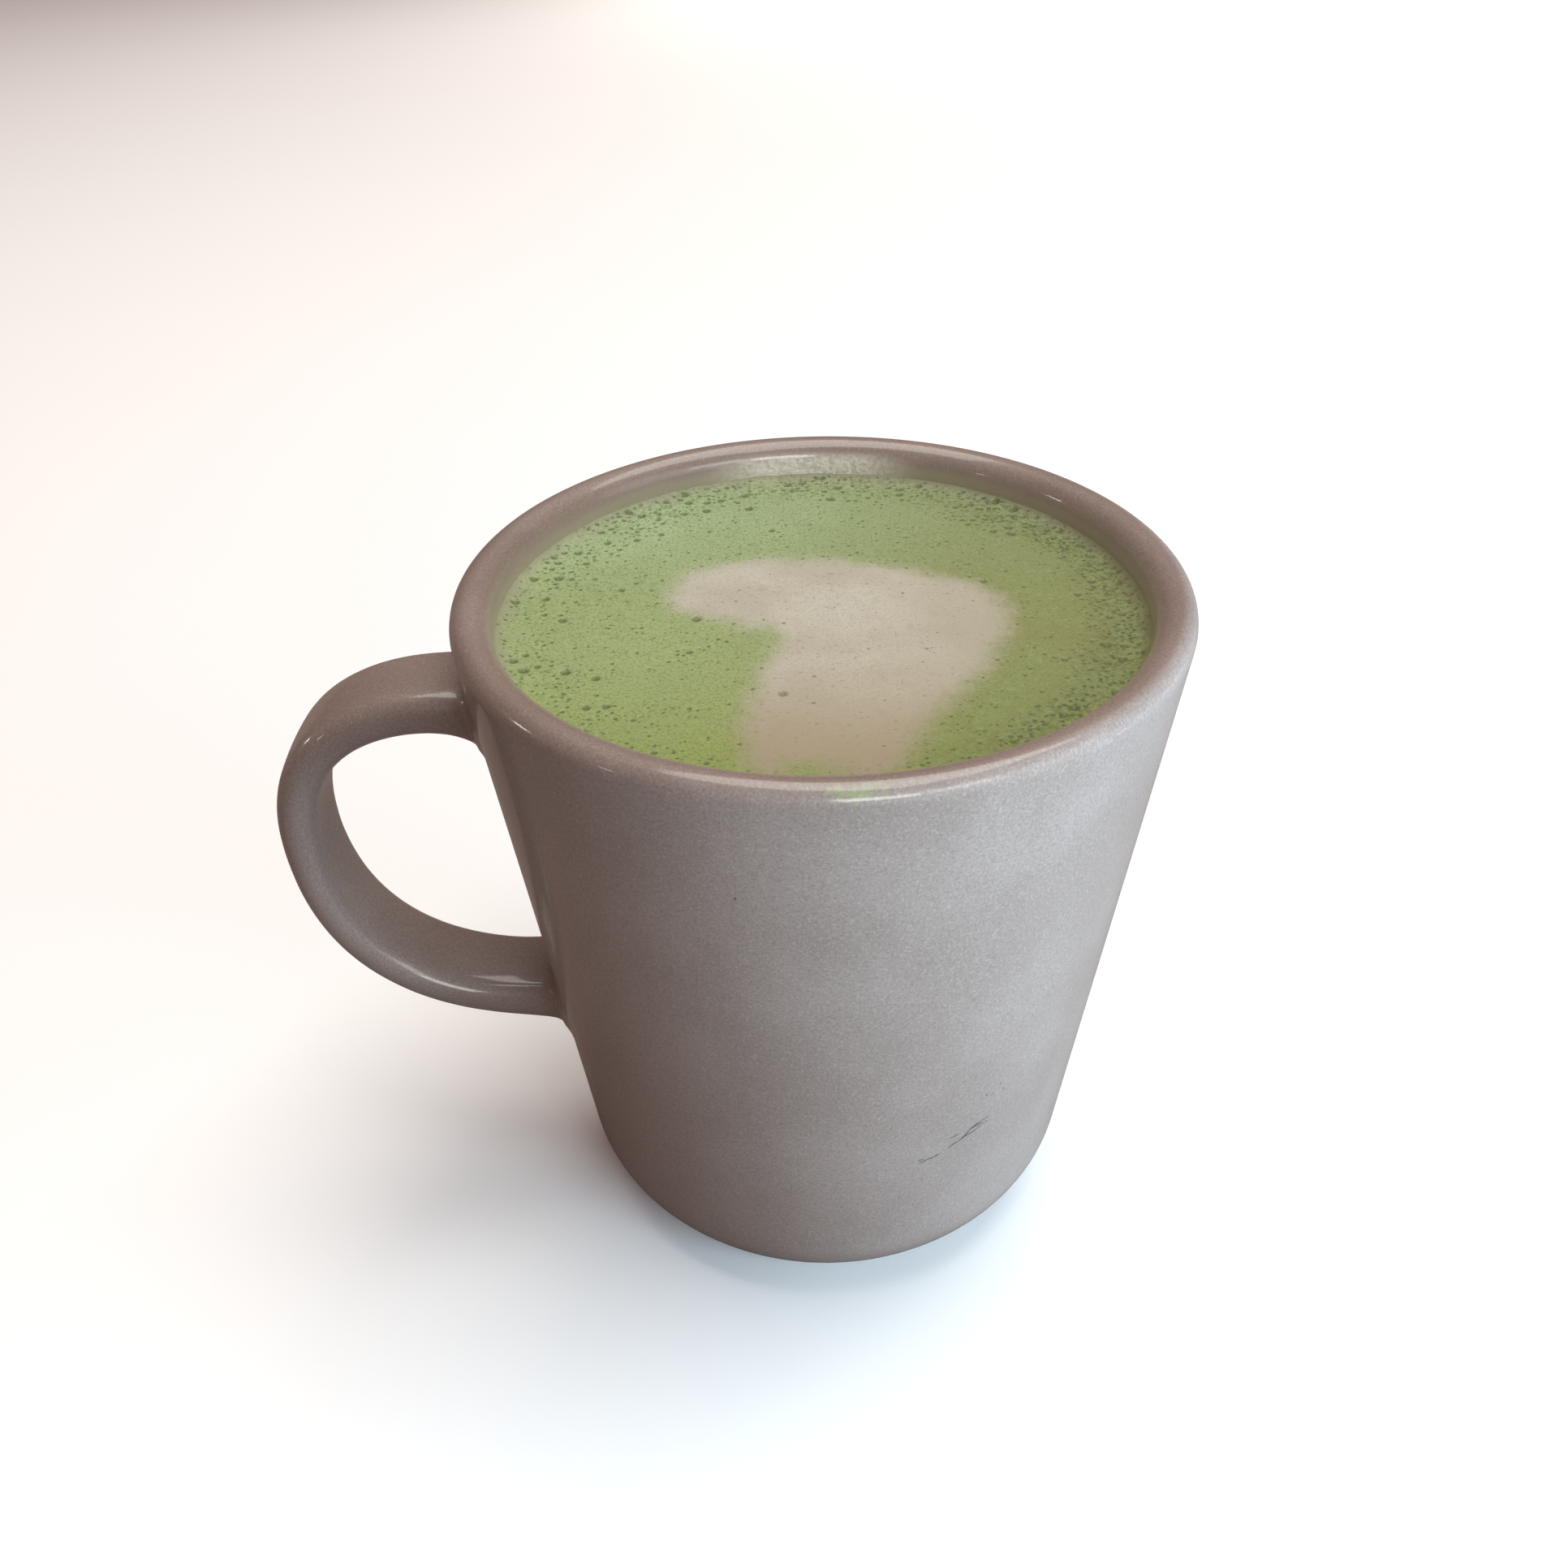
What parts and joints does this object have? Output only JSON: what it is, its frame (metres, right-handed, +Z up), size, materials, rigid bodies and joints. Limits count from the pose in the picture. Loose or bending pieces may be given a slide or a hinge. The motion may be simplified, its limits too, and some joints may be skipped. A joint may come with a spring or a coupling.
{
  "type": "matcha latte in a mug",
  "caption": "Tapered glazed mug with a strap handle, filled near the lip with green matcha latte that carries a lopsided heart of milk foam.",
  "frame": {"origin": "on the table, under the middle of the whole outline with the handle", "axes": "+Z up along the cup's axis, +X from the handle's side to the plain side, +Y away from the viewer"},
  "size_m": [0.1196, 0.092, 0.0969],
  "materials": {
    "mug_glaze": "satin warm grey glaze with fine tooth, a few scuffs low on the front",
    "matcha_foam": "moist green foam with fine pits and burst bubbles",
    "milk_foam": "moist cream coloured foam, soft edged"
  },
  "bodies": {
    "root": {"mug": "mug_glaze", "latte": "matcha_foam", "milk_heart": "milk_foam"}
  },
  "joints": []
}
